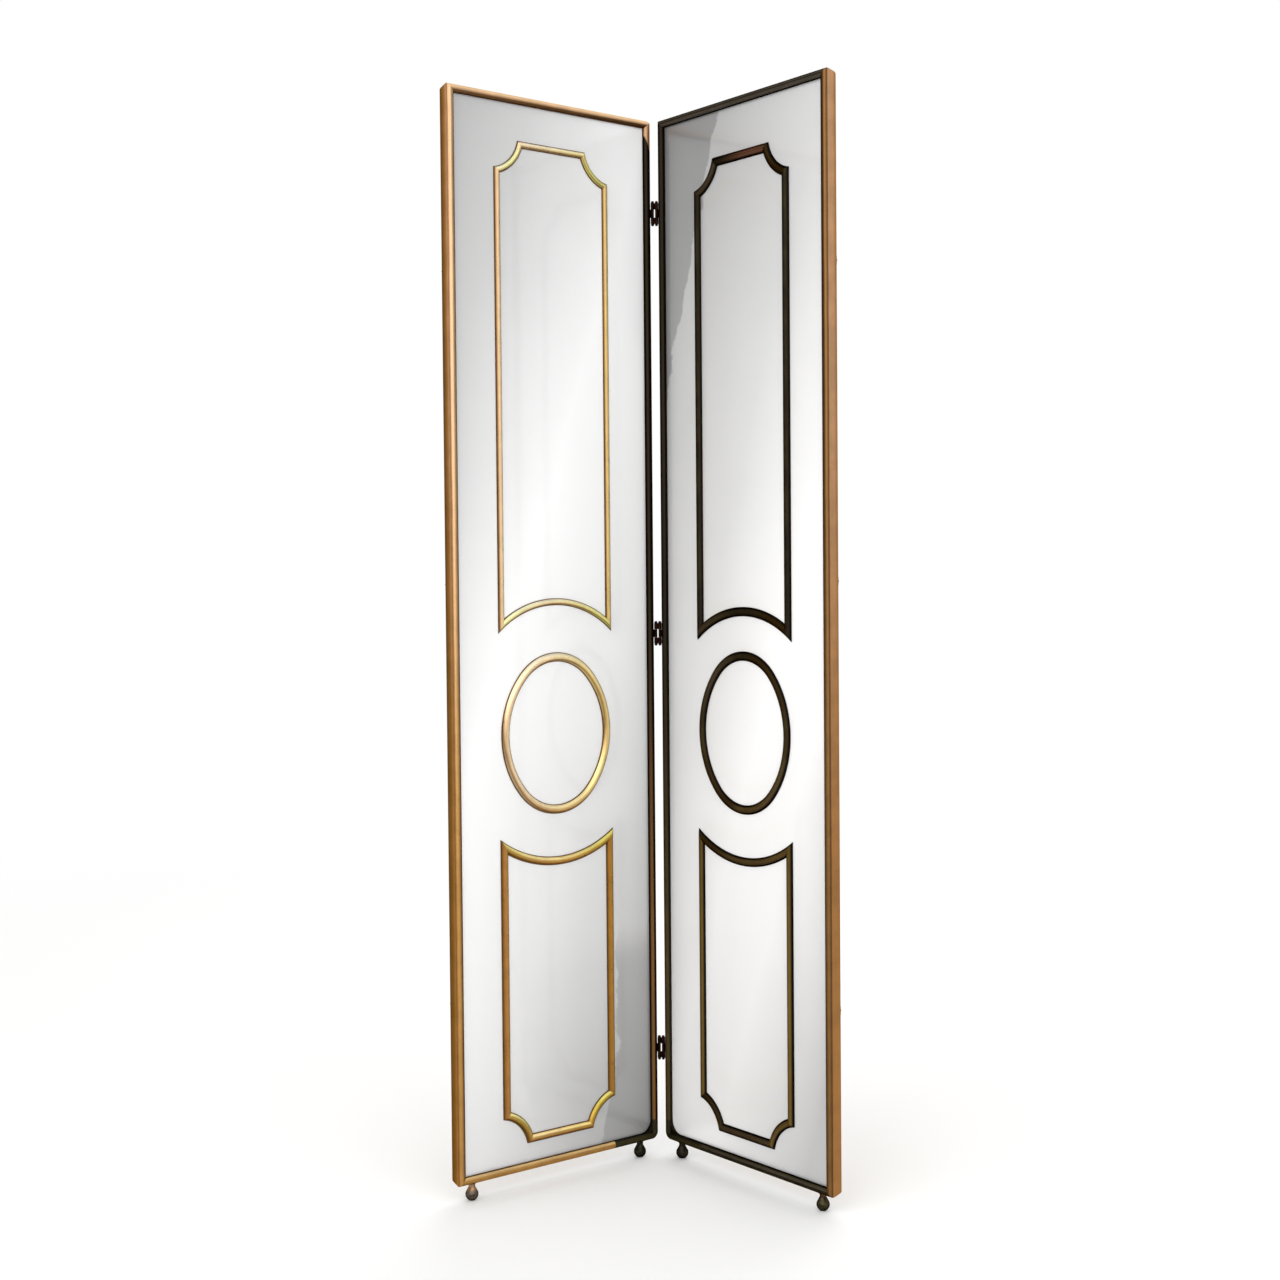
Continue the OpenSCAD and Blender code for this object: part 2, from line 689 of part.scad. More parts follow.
left_outer_stile();
left_hinge_stile();
left_top_rail();
left_bottom_rail();
left_bottom_corner();
left_mirror_glass();
left_back_board();
left_upper_bar();
left_upper_notch_outer();
left_upper_notch_inner();
left_upper_side_outer();
left_upper_side_inner();
left_upper_arc();
left_oval();
left_lower_bar();
left_lower_notch_outer();
left_lower_notch_inner();
left_lower_side_outer();
left_lower_side_inner();
left_lower_arc();
left_outer_foot();
left_inner_foot();
left_hinge_plate_top();
left_hinge_plate_middle();
left_hinge_plate_bottom();
left_hinge_screws();
left_back_clips();
left_clip_screws();
right_outer_stile();
right_hinge_stile();
right_top_rail();
right_bottom_rail();
right_bottom_corner();
right_mirror_glass();
right_back_board();
right_upper_bar();
right_upper_notch_outer();
right_upper_notch_inner();
right_upper_side_outer();
right_upper_side_inner();
right_upper_arc();
right_oval();
right_lower_bar();
right_lower_notch_outer();
right_lower_notch_inner();
right_lower_side_outer();
right_lower_side_inner();
right_lower_arc();
right_outer_foot();
right_inner_foot();
right_hinge_plate_top();
right_hinge_plate_middle();
right_hinge_plate_bottom();
right_hinge_screws();
right_back_clips();
right_clip_screws();
hinge_link_top();
hinge_link_middle();
hinge_link_bottom();
hinge_pins();
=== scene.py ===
import json
import math

import bpy
from mathutils import Matrix, Vector

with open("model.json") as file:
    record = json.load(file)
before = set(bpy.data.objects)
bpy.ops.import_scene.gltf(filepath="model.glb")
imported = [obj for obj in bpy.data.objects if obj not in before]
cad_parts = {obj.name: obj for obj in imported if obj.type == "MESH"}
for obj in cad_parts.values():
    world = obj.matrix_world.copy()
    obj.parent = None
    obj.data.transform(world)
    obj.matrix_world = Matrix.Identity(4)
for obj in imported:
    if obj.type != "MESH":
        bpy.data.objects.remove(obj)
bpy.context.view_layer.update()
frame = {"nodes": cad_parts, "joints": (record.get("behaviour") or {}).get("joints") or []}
nodes = frame["nodes"]
scene = bpy.context.scene

# ---- Places and sizes in the CAD part, in millimetres ----

# The right leaf's pin line at the height of the leaf's bottom; the left leaf's mirrors it
right_fold = next(joint for joint in frame["joints"] if joint["name"] == "right_fold")
PIN = Vector(right_fold["pos_m"]) * 1000
# How far the pin line lies outside the leaf's hinge edge, and behind the front of its bead
PIN_OUT = 3.7
PIN_BACK = 2.0
LEAF_W = 428.0
LEAF_H = 1830.0
BAR_FACE = 13.0
BEAD_RISE = 3.2
OVAL_Z = 748.0
# Each leaf is turned by half of the angle between them
FOLD = math.radians(45)
SIDES = ("left", "right")


def linear(byte):
    """The linear value of an sRGB byte."""
    share = byte / 255
    return share / 12.92 if share <= 0.04045 else ((share + 0.055) / 1.055) ** 2.4


def colour(red, green, blue):
    return (linear(red), linear(green), linear(blue), 1.0)


def grey(byte):
    return colour(byte, byte, byte)


# ---- Building materials ----


class Finish:
    """A procedural material, put together from short calls."""

    def __init__(self, name):
        self.material = bpy.data.materials.new(name)
        self.material.use_nodes = True
        self.tree = self.material.node_tree
        self.shader = self.tree.nodes["Principled BSDF"]
        self.coordinates = self.add("TexCoord").outputs

    def add(self, kind, **settings):
        made = self.tree.nodes.new("ShaderNode" + kind)
        for name, value in settings.items():
            setattr(made, name, value)
        return made

    def join(self, value, socket):
        """Links another node's output to a socket, or sets the socket to a constant."""
        if isinstance(value, bpy.types.NodeSocket):
            self.tree.links.new(value, socket)
        else:
            socket.default_value = value

    def math(self, operation, a, b=0.0, clamp=False):
        made = self.add("Math", operation=operation, use_clamp=clamp)
        self.join(a, made.inputs[0])
        self.join(b, made.inputs[1])
        return made.outputs[0]

    def plus(self, a, b):
        return self.math("ADD", a, b)

    def minus(self, a, b):
        return self.math("SUBTRACT", a, b)

    def times(self, a, b):
        return self.math("MULTIPLY", a, b)

    def spread(self, value, low, high, to_low=0.0, to_high=1.0):
        """value from low..high to to_low..to_high, smooth and held at both ends."""
        made = self.add("MapRange", interpolation_type="SMOOTHSTEP")
        for index, item in enumerate((value, low, high, to_low, to_high)):
            self.join(item, made.inputs[index])
        return made.outputs[0]

    def mix(self, share, a, b, blend="MIX"):
        made = self.add("Mix", data_type="RGBA", blend_type=blend)
        self.join(share, made.inputs[0])
        self.join(a, made.inputs[6])
        self.join(b, made.inputs[7])
        return made.outputs[2]

    def ramp(self, value, low, high, stops):
        """The colour for a value from low to high, between stops of (value, colour)."""
        share = self.math("DIVIDE", self.minus(value, low), high - low, clamp=True)
        made = self.add("ValToRGB")
        elements = made.color_ramp.elements
        while len(elements) < len(stops):
            elements.new(0.5)
        for element, (at, tone) in zip(elements, stops):
            element.position = (at - low) / (high - low)
        for element, (at, tone) in zip(elements, stops):
            element.color = tone
        self.join(share, made.inputs[0])
        return made.outputs[0]

    def noise(self, point, scale, detail=2.0, roughness=0.5):
        made = self.add("TexNoise")
        self.join(point, made.inputs["Vector"])
        made.inputs["Scale"].default_value = scale
        made.inputs["Detail"].default_value = detail
        made.inputs["Roughness"].default_value = roughness
        return made.outputs["Fac"]

    def between(self, noise, low, high):
        """Noise, whose values lie mostly from 0.3 to 0.7, spread from low to high."""
        return self.spread(noise, 0.3, 0.7, low, high)

    def wander(self, noise, reach):
        """Noise as a shift either way, of up to half of reach."""
        return self.times(self.minus(noise, 0.5), reach)

    def stretched(self, vector, factors):
        made = self.add("VectorMath", operation="MULTIPLY")
        self.join(vector, made.inputs[0])
        made.inputs[1].default_value = factors
        return made.outputs[0]

    def scaled(self, vector, factor):
        made = self.add("VectorMath", operation="SCALE")
        self.join(vector, made.inputs[0])
        self.join(factor, made.inputs["Scale"])
        return made.outputs[0]

    def parts(self, vector):
        made = self.add("SeparateXYZ")
        self.join(vector, made.inputs[0])
        return made.outputs[0], made.outputs[1], made.outputs[2]

    def bump(self, height, distance, strength):
        made = self.add("Bump")
        made.inputs["Strength"].default_value = strength
        made.inputs["Distance"].default_value = distance
        self.join(height, made.inputs["Height"])
        self.join(made.outputs[0], self.shader.inputs["Normal"])

    def set(self, **values):
        """Sets the shader's sockets, named with underscores, and returns the material."""
        for name, value in values.items():
            self.join(value, self.shader.inputs[name.replace("_", " ")])
        return self.material


class LeafFinish(Finish):
    """A finish laid out over one leaf, in millimetres.

    across is the distance from the leaf's hinge edge, depth the distance back from the front of
    its bead, and height the distance up from its bottom. point is all three.
    """

    def __init__(self, name, side):
        super().__init__(name)
        self.flip = -1 if side == "left" else 1
        made = self.add("Mapping", vector_type="POINT")
        self.join(self.coordinates["Object"], made.inputs["Vector"])
        shift = Matrix.Rotation(FOLD, 3, "Z") @ -PIN + Vector((-PIN_OUT, PIN_BACK, 0))
        made.inputs["Location"].default_value = shift
        made.inputs["Rotation"].default_value = (0, 0, FOLD)
        made.inputs["Scale"].default_value = (self.flip * 1000, 1000, 1000)
        self.point = made.outputs[0]
        self.across, self.depth, self.height = self.parts(self.point)

    def facing(self):
        """The way the surface faces: outwards over the leaf, to the front and up."""
        made = self.add("Mapping", vector_type="VECTOR")
        self.join(self.coordinates["Normal"], made.inputs["Vector"])
        made.inputs["Rotation"].default_value = (0, 0, FOLD)
        made.inputs["Scale"].default_value = (self.flip, 1, 1)
        outward, backward, upward = self.parts(made.outputs[0])
        return outward, self.times(backward, -1.0), upward


# ---- Mirror glass: a painted reflection, a grey tone that drifts slantwise over the leaf ----

# Place along the drift: its start, and its change per millimetre across and up
DRIFT = {"left": (938.2, -0.4497, -0.1553), "right": (908.8, 0.3831, -0.1344)}
# Grey of the painted reflection at places along the drift
REFLECTION_GREYS = {
    "left": ((450, grey(172)), (540, grey(204)), (655, grey(254)), (765, grey(232)),
             (930, grey(154))),
    "right": ((650, grey(140)), (735, grey(178)), (825, grey(214)), (905, grey(254)),
              (958, grey(253)), (1050, grey(198))),
}
# Noise that makes the drift wander: its scale, and its reach along the drift
DRIFT_SCALE = 0.004
DRIFT_REACH = 26.0
# Away from the hinge the glass gets more light, so its tone is held down there
OPEN_GLASS = 0.91
OPENS_ACROSS = (40, 180)
GLASS_ROUGHNESS = (0.3, 0.36)

# How far the glass's tone is darkened over a patch with a broken edge: low at the hinge on the left
# leaf, high at the hinge on the right leaf
DARKER_PATCH = {"left": 0.74, "right": 0.6}
# Left leaf: the darker strip narrows with height, and ends
STRIP_NARROWS = (20, 120)
STRIP_WIDTHS = (130, 88)
STRIP_ENDS = (300, 430)
# Right leaf: the darker corner starts at a height and widens upwards
CORNER_START = 1300
CORNER_WIDENING = 0.3
CORNER_FADES_IN = (1150, 1400)
# Noise that breaks the edge: its scale and its reach, and how soft the edge is, in millimetres
RAGGED_SCALE = 0.014
RAGGED_REACH = 56
RAGGED_EDGE = (-3, 5)


def darker_patch(finish, side):
    """1 over the darker patch and 0 elsewhere, with a broken edge between."""
    if side == "left":
        width = finish.spread(finish.height, *STRIP_NARROWS, *STRIP_WIDTHS)
        share = finish.spread(finish.height, *STRIP_ENDS, 1.0, 0.0)
    else:
        width = finish.times(finish.minus(finish.height, CORNER_START), CORNER_WIDENING)
        share = finish.spread(finish.height, *CORNER_FADES_IN)
    noise = finish.noise(finish.point, RAGGED_SCALE, detail=4.0, roughness=0.6)
    edge = finish.plus(finish.minus(finish.across, width), finish.wander(noise, RAGGED_REACH))
    return finish.times(finish.spread(edge, *RAGGED_EDGE, 1.0, 0.0), share)


def mirror_glass(side):
    finish = LeafFinish(side + "_mirror_painted_reflection", side)
    start, per_across, per_height = DRIFT[side]
    drift = finish.plus(finish.times(finish.across, per_across), start)
    drift = finish.plus(drift, finish.times(finish.height, per_height))
    drift = finish.plus(drift, finish.wander(finish.noise(finish.point, DRIFT_SCALE), DRIFT_REACH))
    stops = REFLECTION_GREYS[side]
    # The glass's grey is a painted reflection, read along the drift
    tone = finish.ramp(drift, stops[0][0], stops[-1][0], stops)
    tone = finish.scaled(tone, finish.spread(finish.across, *OPENS_ACROSS, 1.0, OPEN_GLASS))
    tone = finish.scaled(tone, finish.spread(darker_patch(finish, side), 0, 1, 1.0, DARKER_PATCH[side]))
    clouds = finish.noise(finish.point, 0.03, detail=4.0, roughness=0.6)
    return finish.set(Base_Color=tone, Metallic=0.2, IOR=1.5, Coat_Weight=0.6, Coat_Roughness=0.03,
                      Roughness=finish.between(clouds, *GLASS_ROUGHNESS))


# ---- Brass ----

# Tones of the brass, from bright to nearly black, for its colour and for painted highlights,
# reflections and shade
BRASS = {
    "cream": colour(242, 206, 162),
    "fawn": colour(204, 166, 128),
    "straw": colour(206, 174, 120),
    "tan": colour(186, 144, 108),
    "buff": colour(162, 134, 102),
    "honey": colour(176, 132, 74),
    "copper": colour(160, 114, 68),
    "bronze": colour(130, 94, 50),
    "umber": colour(108, 78, 48),
    "slate": colour(82, 76, 68),
    "olive": colour(66, 60, 38),
    "coffee": colour(72, 48, 32),
    "charcoal": colour(44, 39, 30),
    "oxblood": colour(42, 17, 9),
    "soot": colour(27, 19, 15),
}
# Tints of the glossy reflections, on bright brass and on dark
WARM_TINT = colour(190, 160, 120)
DARK_BAR_TINT = colour(90, 76, 60)
DARK_MOULDING_TINT = colour(90, 74, 56)
DULL_TINT = colour(80, 66, 52)
# How wear changes the light of a tone: a factor for clouds, what hairs add and what specks take
CLOUD_LIGHT = (0.88, 1.05)
HAIR_LIGHT = (-0.07, 0.05)
SPECK_LIGHT = 0.16
SPECK_NOISE = (0.62, 0.78)
# Scales that draw the hairs out, up the leaf or across it
HAIR_SCALES = {"height": (1.4, 1.4, 0.02), "across": (0.02, 0.02, 1.4)}
# Depth of the wear, in metres
WEAR_DEPTH = 0.00005


def worn(finish, base, along="height"):
    """Faint clouds, specks and long hairline marks over a brass tone. Returns it and the clouds."""
    clouds = finish.noise(finish.point, 0.03, detail=4.0, roughness=0.6)
    hairs = finish.noise(finish.stretched(finish.point, HAIR_SCALES[along]), 1.0)
    specks = finish.noise(finish.point, 0.7, detail=3.0, roughness=0.6)
    light = finish.plus(finish.between(clouds, *CLOUD_LIGHT), finish.between(hairs, *HAIR_LIGHT))
    light = finish.minus(light, finish.spread(specks, *SPECK_NOISE, 0.0, SPECK_LIGHT))
    relief = finish.plus(hairs, finish.times(clouds, 2.0))
    finish.bump(relief, distance=WEAR_DEPTH, strength=0.4)
    return finish.scaled(base, light), clouds


# ---- Frame bars ----

# Tones round the cast bottom corners: dark brass, painted in shade
CAST_CORNER = ((-2, "charcoal"), (4, "olive"), (8, "olive"), (12, "charcoal"), (18, "soot"))
# Tones round a frame bar, at its foot: the brass's colour with painted highlights, reflections and
# shade, mostly bright on the left leaf and shaded on the right. Each stop is a distance in
# millimetres from the bar's outer front edge, negative down the outer wall and positive over the
# bead to the lip.
FOOT_BANDS = {
    "left_outer_stile": ((-20, "umber"), (-10, "bronze"), (-4, "copper"), (-1.5, "copper"),
                         (0, "bronze"), (2, "honey"), (5, "honey"), (10, "umber"), (13, "umber"),
                         (14, "coffee")),
    "right_outer_stile": ((-22, "copper"), (-4, "copper"), (-1.5, "umber"), (1, "umber"),
                          (3, "bronze"), (5.5, "umber"), (12, "coffee"), (15, "soot")),
    "left_top_rail": ((-20, "umber"), (-2, "copper"), (0.5, "cream"), (4, "cream"), (7.5, "tan"),
                      (9.5, "umber"), (12, "umber"), (15, "coffee")),
    "left_bottom_rail": ((-20, "umber"), (-2, "bronze"), (2, "honey"), (8, "honey"), (11, "straw"),
                         (12.6, "straw"), (14, "umber"), (18, "olive")),
    "right_top_rail": ((-2, "charcoal"), (3, "slate"), (5, "slate"), (6.5, "charcoal"),
                       (9, "slate"), (12, "slate"), (13.5, "soot")),
    "right_bottom_rail": ((-2, "charcoal"), (4, "olive"), (6.5, "charcoal"), (9, "slate"),
                          (12, "olive"), (13.5, "soot")),
    "left_hinge_stile": ((-22, "oxblood"), (7, "oxblood"), (9, "bronze"), (12, "umber"),
                         (14, "coffee"), (18, "soot")),
    "right_hinge_stile": ((-22, "charcoal"), (0, "olive"), (4, "slate"), (7, "umber"),
                          (12, "olive"), (14, "charcoal")),
    "left_bottom_corner": CAST_CORNER,
    "right_bottom_corner": CAST_CORNER,
}
# The same at a stile's head
HEAD_BANDS = {
    "left_outer_stile": ((-18, "umber"), (-9, "copper"), (-4, "tan"), (-2, "tan"), (0, "umber"),
                         (2, "fawn"), (4.5, "fawn"), (7, "buff"), (10, "buff"), (13, "umber"),
                         (14, "coffee")),
    "right_outer_stile": ((-20, "copper"), (-14, "tan"), (-4, "tan"), (-1.5, "umber"), (1, "umber"),
                          (2.5, "bronze"), (4.8, "coffee"), (9, "charcoal"), (14, "soot")),
    "left_hinge_stile": ((-22, "soot"), (8, "soot"), (11, "charcoal"), (14, "soot")),
    "right_hinge_stile": ((-22, "soot"), (6, "soot"), (10, "charcoal"), (15, "soot")),
}
BAND_LOW, BAND_HIGH = -23.0, 19.0
BAND_REACH = 1.6
# Heights over which a stile turns from its foot's tones to its head's
OUTER_STILE_TURNS = (450, 1500)
HINGE_STILE_TURNS = (200, 1000)
# Bars painted in shade by their bands; they also take a rougher, duller gloss
DARK_BARS = ("left_hinge_stile", "left_bottom_corner", "right_hinge_stile", "right_bottom_corner",
             "right_top_rail", "right_bottom_rail")
DARK_BAR_ROUGHNESS = (0.42, 0.54)
BRIGHT_BAR_ROUGHNESS = (0.3, 0.42)
# A painted highlight: the left hinge stile's head is bright down to a slanting line, on the front
# of the bar alone
WEDGE_ENDS = (LEAF_H - 64, LEAF_H - 58)
WEDGE_SLANT = 2.6
WEDGE_DEPTHS = (4, 7)


def swept_edge(finish):
    """Distance from the rounded outline of the cast corner."""
    reach = finish.math("MAXIMUM", finish.minus(BAR_FACE, finish.across), 0.0)
    drop = finish.math("MAXIMUM", finish.minus(BAR_FACE, finish.height), 0.0)
    squared = finish.plus(finish.times(reach, reach), finish.times(drop, drop))
    return finish.minus(BAR_FACE, finish.math("SQRT", squared))


def outer_edge(finish, part):
    """Distance over the leaf from the outer edge of a frame bar."""
    if part == "outer_stile":
        return finish.minus(LEAF_W, finish.across)
    if part == "hinge_stile":
        return finish.across
    if part == "top_rail":
        return finish.minus(LEAF_H, finish.height)
    if part == "bottom_rail":
        return finish.height
    return swept_edge(finish)


def bar_brass(node):
    """Brass of a frame bar: its colour with painted highlights, reflections and shade, in bands
    that follow its section.
    """
    side, part = node.split("_", 1)
    finish = LeafFinish(node + "_brass", side)
    edge = outer_edge(finish, part)
    back = finish.math("MAXIMUM", finish.minus(finish.depth, BEAD_RISE), 0.0)
    inner = finish.math("GREATER_THAN", edge, BAR_FACE / 2)
    way = finish.minus(finish.times(inner, 2.0), 1.0)
    band = finish.plus(edge, finish.times(back, way))
    band = finish.plus(band, finish.wander(finish.noise(finish.point, 0.01), BAND_REACH))

    def banded(stops):
        return finish.ramp(band, BAND_LOW, BAND_HIGH, [(at, BRASS[tone]) for at, tone in stops])

    base = banded(FOOT_BANDS[node])
    if node in HEAD_BANDS:
        turns = HINGE_STILE_TURNS if part == "hinge_stile" else OUTER_STILE_TURNS
        base = finish.mix(finish.spread(finish.height, *turns), base, banded(HEAD_BANDS[node]))
    # Painted highlight on the head of the left hinge stile
    if node == "left_hinge_stile":
        wedge = finish.minus(finish.height, finish.times(edge, WEDGE_SLANT))
        front = finish.spread(finish.depth, *WEDGE_DEPTHS, 1.0, 0.0)
        share = finish.times(finish.spread(wedge, *WEDGE_ENDS), front)
        base = finish.mix(share, base, BRASS["tan"])
    base, clouds = worn(finish, base, "height" if "stile" in part else "across")
    dark = node in DARK_BARS
    roughness = DARK_BAR_ROUGHNESS if dark else BRIGHT_BAR_ROUGHNESS
    return finish.set(Base_Color=base, Metallic=1.0, Roughness=finish.between(clouds, *roughness),
                      Specular_Tint=DARK_BAR_TINT if dark else WARM_TINT)


# ---- Mouldings ----

# Keeps the direction of a strip's crest, which leans neither way, from dividing by zero
LEAST_LEAN = 0.0002
# How much facing up, facing outwards and lying level count towards a left strip's painted light and
# shade
UP_SHARE = 0.9
OUT_SHARE = 0.35
LEVEL_SHARE = 0.3
# Painted highlights and shade on the left leaf's strips: tones from -1, facing down and outwards,
# over the crest to 1, facing up and inwards. The lower ones give way to the upper ones between two
# heights.
LOWER_LIGHT_AND_SHADE = (
    (-0.9, colour(104, 72, 34)),
    (-0.4, colour(114, 78, 32)),
    (-0.1, colour(164, 114, 58)),
    (0.1, colour(182, 136, 78)),
    (0.4, colour(190, 152, 92)),
    (0.8, colour(255, 228, 166)),
)
UPPER_LIGHT_AND_SHADE = (
    (-0.9, colour(128, 100, 60)),
    (-0.6, colour(196, 172, 134)),
    (-0.3, colour(138, 108, 74)),
    (-0.1, colour(206, 172, 130)),
    (0.1, colour(240, 214, 174)),
    (0.3, colour(246, 222, 180)),
    (0.8, colour(255, 244, 220)),
)
LOWER_TO_UPPER = (580, 680)
# The strips nearer the hinge are a little more yellow
LEMON_ACROSS = (280, 120)
LEMON = colour(250, 252, 216)
# So are the notches and arcs, but not the oval: factors on red, green and blue
YELLOWED = (0.9, 1.12, 0.8)
CLEAR_OF_OVAL = (142, 152)
# Depths over which a strip is painted in shade where it meets the glass
LEFT_FOOT_DEPTHS = (6.2, 7.6)
RIGHT_FOOT_DEPTHS = (5.6, 7.2)
LEFT_STRIP_ROUGHNESS = (0.26, 0.36)
RIGHT_STRIP_ROUGHNESS = (0.36, 0.48)

# Tones of the right leaf's strips: painted shade, nearly black, with painted light by height and by
# the way a strip faces
CREST_BROWN = colour(36, 30, 23)
CREST_OLIVE = colour(48, 43, 29)
LOW_GOLD = colour(112, 90, 44)
LEVEL_BROWN = colour(74, 62, 46)
FALLING_UMBER = colour(48, 34, 14)
RISING_BRONZE = colour(108, 86, 50)
TOP_BAR_COPPER = colour(104, 72, 56)
INNER_FLANK = colour(44, 32, 18)
OUTER_FLANK = colour(30, 26, 18)
# Heights over which the lower strips' painted gold light gives way
GOLD_FADES = (300, 900)
# The top bar turns to copper: the heights where it begins, and how far across
TOP_BAR_STARTS = (1690, 1700)
COPPER_ACROSS = (170, 240)
OLIVE_NOISE = (0.4, 0.62)
# Levelness that counts as level, and slants that count as falling or rising outwards
LEVEL = (0.85, 0.97)
FALLING = (0.05, 0.4)
RISING = (-0.1, -0.45)
RISING_SHARE = 0.8
# How far a surface faces the front, from a strip's flank to its crest
CREST = (0.5, 0.92)


def lean(finish, outward, upward):
    """How far a strip's surface leans along the leaf, squared."""
    total = finish.plus(finish.times(outward, outward), finish.times(upward, upward))
    return finish.plus(total, LEAST_LEAN)


def levelness(finish, outward, upward):
    """0 on an upright strip, 1 on a level one."""
    return finish.math("DIVIDE", finish.times(upward, upward), lean(finish, outward, upward))


def slant(finish, outward, upward):
    """From -0.5, on a strip that rises outwards, to 0.5, on one that falls outwards."""
    return finish.math("DIVIDE", finish.times(outward, upward), lean(finish, outward, upward))


def left_moulding():
    """Bright gold, with painted highlights and shade by the way each side of a strip faces."""
    finish = LeafFinish("left_moulding_brass", "left")
    outward, _, upward = finish.facing()
    level = levelness(finish, outward, upward)
    facing = finish.minus(finish.times(upward, UP_SHARE), finish.times(outward, OUT_SHARE))
    facing = finish.plus(facing, finish.times(level, LEVEL_SHARE))
    lower = finish.ramp(facing, -1, 1, LOWER_LIGHT_AND_SHADE)
    upper = finish.ramp(facing, -1, 1, UPPER_LIGHT_AND_SHADE)
    base = finish.mix(finish.spread(finish.height, *LOWER_TO_UPPER), lower, upper)
    base = finish.mix(finish.spread(finish.across, *LEMON_ACROSS), base, LEMON, "MULTIPLY")
    # level * (1 - level) is a quarter at most, so four times that reaches 1
    slanting = finish.times(level, finish.minus(1.0, level))
    from_oval = finish.math("ABSOLUTE", finish.minus(finish.height, OVAL_Z))
    slanting = finish.times(slanting, finish.spread(from_oval, *CLEAR_OF_OVAL, 0.0, 4.0))
    base = finish.mix(slanting, base, finish.stretched(base, YELLOWED))
    # Painted shade where the strip meets the glass
    base = finish.mix(finish.spread(finish.depth, *LEFT_FOOT_DEPTHS), base, BRASS["umber"])
    base, clouds = worn(finish, base)
    return finish.set(Base_Color=base, Metallic=0.8, Specular_Tint=WARM_TINT,
                      Roughness=finish.between(clouds, *LEFT_STRIP_ROUGHNESS))


def right_moulding():
    """Brass painted nearly black in shade, with painted dim gold light low down and painted bronze
    light where a strip rises outwards.
    """
    finish = LeafFinish("right_moulding_brass", "right")
    outward, front, upward = finish.facing()
    low = finish.spread(finish.height, *GOLD_FADES, 1.0, 0.0)
    level = levelness(finish, outward, upward)
    way = slant(finish, outward, upward)
    patch = finish.noise(finish.point, 0.012, detail=3.0, roughness=0.6)
    crest = finish.mix(finish.spread(patch, *OLIVE_NOISE), CREST_BROWN, CREST_OLIVE)
    crest = finish.mix(low, crest, LOW_GOLD)
    crest = finish.mix(finish.times(level, low), crest, LEVEL_BROWN)
    crest = finish.mix(finish.spread(way, *FALLING), crest, FALLING_UMBER)
    rising = finish.mix(low, LEVEL_BROWN, RISING_BRONZE)
    crest = finish.mix(finish.spread(way, *RISING, 0.0, RISING_SHARE), crest, rising)
    top = finish.spread(finish.height, *TOP_BAR_STARTS)
    copper = finish.times(top, finish.spread(level, *LEVEL))
    copper = finish.times(copper, finish.spread(finish.across, *COPPER_ACROSS))
    crest = finish.mix(copper, crest, TOP_BAR_COPPER)
    flank = finish.mix(finish.spread(outward, -0.5, 0.5), INNER_FLANK, OUTER_FLANK)
    base = finish.mix(finish.spread(front, *CREST), flank, crest)
    # Painted shade where the strip meets the glass
    base = finish.mix(finish.spread(finish.depth, *RIGHT_FOOT_DEPTHS), base, BRASS["soot"])
    base, clouds = worn(finish, base)
    return finish.set(Base_Color=base, Metallic=1.0, Specular_Tint=DARK_MOULDING_TINT,
                      Roughness=finish.between(clouds, *RIGHT_STRIP_ROUGHNESS))


# ---- Small brass parts ----

SATIN = {
    "body": colour(170, 132, 80),
    "shade": colour(104, 76, 44),
    "rubbed": colour(214, 180, 124),
    "roughness": 0.34,
    "tint": WARM_TINT,
}
HINGE = {
    "body": colour(40, 20, 13),
    "shade": colour(22, 11, 8),
    "rubbed": colour(66, 40, 26),
    "roughness": 0.45,
    "tint": DULL_TINT,
}
INNER_FOOT = {
    "body": colour(50, 46, 36),
    "shade": colour(32, 30, 24),
    "rubbed": colour(92, 84, 66),
    "roughness": 0.3,
    "tint": DULL_TINT,
}
# An outer foot's neck takes another tone between two heights, measured from the leaf's bottom
OUTER_FOOT = {
    "left": {
        "body": colour(92, 84, 74),
        "shade": colour(70, 62, 52),
        "rubbed": colour(150, 142, 130),
        "roughness": 0.28,
        "tint": DULL_TINT,
        "neck": (-16, -9, colour(152, 122, 90)),
    },
    "right": {
        "body": colour(66, 60, 42),
        "shade": colour(44, 40, 28),
        "rubbed": colour(120, 108, 82),
        "roughness": 0.28,
        "tint": DULL_TINT,
        "neck": (-8, 0, colour(104, 66, 42)),
    },
}
SHADE_NOISE = (0.36, 0.66)
RUBBED_NOISE = (0.55, 0.75)
RUBBED_SHARE = 0.5
ROUGHNESS_SPAN = 0.12


def plain_brass(name, side, body, shade, rubbed, roughness, tint, neck=None):
    """A small brass part: its body's tone, darker in clouds and lighter where it is rubbed."""
    finish = LeafFinish(name, side)
    clouds = finish.noise(finish.point, 0.09, detail=4.0, roughness=0.62)
    base = finish.mix(finish.spread(clouds, *SHADE_NOISE), body, shade)
    rub = finish.noise(finish.point, 0.4, detail=3.0, roughness=0.6)
    base = finish.mix(finish.spread(rub, *RUBBED_NOISE, 0.0, RUBBED_SHARE), base, rubbed)
    if neck is not None:
        low, high, tone = neck
        base = finish.mix(finish.spread(finish.height, low, high), base, tone)
    base, wear = worn(finish, base)
    return finish.set(Base_Color=base, Metallic=1.0, Specular_Tint=tint,
                      Roughness=finish.between(wear, roughness, roughness + ROUGHNESS_SPAN))


# ---- Back board ----

BOARD_LIGHT = colour(150, 118, 84)
BOARD_DARK = colour(122, 92, 62)
BOARD_FLECK = colour(96, 70, 46)
# Scales that draw the grain out up the leaf
GRAIN_SCALES = (0.35, 0.35, 0.012)
GRAIN_NOISE = (0.35, 0.65)
# Depth of the grain, in metres
GRAIN_DEPTH = 0.0002
FLECK_NOISE = (0.55, 0.7)
FLECK_SHARE = 0.4
BOARD_ROUGHNESS = (0.62, 0.78)


